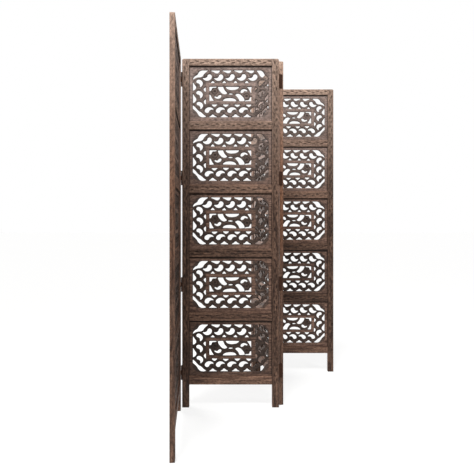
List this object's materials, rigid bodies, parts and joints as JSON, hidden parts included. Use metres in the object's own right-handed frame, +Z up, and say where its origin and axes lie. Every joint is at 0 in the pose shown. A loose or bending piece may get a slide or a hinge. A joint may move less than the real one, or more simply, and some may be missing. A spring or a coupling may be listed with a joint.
{
  "type": "carved jali folding screen",
  "caption": "Free-standing folding room screen of carved wooden frames that hold pierced jali boards, with pinned butt hinges between the panels.",
  "frame": {"origin": "on the floor under the middle of the standing zigzag, bottom centre of its bounding box", "axes": "+Z up; +X to the right along the second and fourth panels, seen from the front; +Y away from the viewer"},
  "size_m": [0.9388, 1.0666, 1.829],
  "materials": {
    "frame_wood": "dark brown stained and rubbed, chip carved",
    "insert_wood": "dark brown stained, pierced and carved",
    "hinge_metal": "dark oiled steel"
  },
  "bodies": {
    "panel_1": {"panel_1_left_stile": "frame_wood", "panel_1_right_stile": "frame_wood", "panel_1_bottom_rail": "frame_wood", "panel_1_middle_rail_1": "frame_wood", "panel_1_middle_rail_2": "frame_wood", "panel_1_middle_rail_3": "frame_wood", "panel_1_middle_rail_4": "frame_wood", "panel_1_top_rail": "frame_wood", "panel_1_insert_1": "insert_wood", "panel_1_insert_2": "insert_wood", "panel_1_insert_3": "insert_wood", "panel_1_insert_4": "insert_wood", "panel_1_insert_5": "insert_wood", "panel_1_right_hinge_leaves": "hinge_metal"},
    "panel_2": {"panel_2_left_stile": "frame_wood", "panel_2_right_stile": "frame_wood", "panel_2_bottom_rail": "frame_wood", "panel_2_middle_rail_1": "frame_wood", "panel_2_middle_rail_2": "frame_wood", "panel_2_middle_rail_3": "frame_wood", "panel_2_middle_rail_4": "frame_wood", "panel_2_top_rail": "frame_wood", "panel_2_insert_1": "insert_wood", "panel_2_insert_2": "insert_wood", "panel_2_insert_3": "insert_wood", "panel_2_insert_4": "insert_wood", "panel_2_insert_5": "insert_wood", "panel_2_left_hinge_leaves": "hinge_metal", "panel_2_right_hinge_leaves": "hinge_metal", "panel_2_hinge_pins": "hinge_metal"},
    "panel_3": {"panel_3_left_stile": "frame_wood", "panel_3_right_stile": "frame_wood", "panel_3_bottom_rail": "frame_wood", "panel_3_middle_rail_1": "frame_wood", "panel_3_middle_rail_2": "frame_wood", "panel_3_middle_rail_3": "frame_wood", "panel_3_middle_rail_4": "frame_wood", "panel_3_top_rail": "frame_wood", "panel_3_insert_1": "insert_wood", "panel_3_insert_2": "insert_wood", "panel_3_insert_3": "insert_wood", "panel_3_insert_4": "insert_wood", "panel_3_insert_5": "insert_wood", "panel_3_left_hinge_leaves": "hinge_metal", "panel_3_right_hinge_leaves": "hinge_metal", "panel_3_hinge_pins": "hinge_metal"},
    "panel_4": {"panel_4_left_stile": "frame_wood", "panel_4_right_stile": "frame_wood", "panel_4_bottom_rail": "frame_wood", "panel_4_middle_rail_1": "frame_wood", "panel_4_middle_rail_2": "frame_wood", "panel_4_middle_rail_3": "frame_wood", "panel_4_middle_rail_4": "frame_wood", "panel_4_top_rail": "frame_wood", "panel_4_insert_1": "insert_wood", "panel_4_insert_2": "insert_wood", "panel_4_insert_3": "insert_wood", "panel_4_insert_4": "insert_wood", "panel_4_insert_5": "insert_wood", "panel_4_left_hinge_leaves": "hinge_metal"}
  },
  "joints": [
    {"name": "fold_1_2", "type": "hinge", "parent": "panel_2", "child": "panel_1", "pos_m": [-0.44366, -0.02331, 0.9], "axis": [0, 0, 1], "range_deg": [-94.75, 85.25]},
    {"name": "fold_2_3", "type": "hinge", "parent": "panel_2", "child": "panel_3", "pos_m": [0.06754, 0.00669, 0.9], "axis": [0, 0, 1], "range_deg": [-105.5, 74.5]},
    {"name": "fold_3_4", "type": "hinge", "parent": "panel_3", "child": "panel_4", "pos_m": [-0.04016, 0.50731, 0.9], "axis": [0, 0, 1], "range_deg": [-74.5, 105.5]}
  ]
}
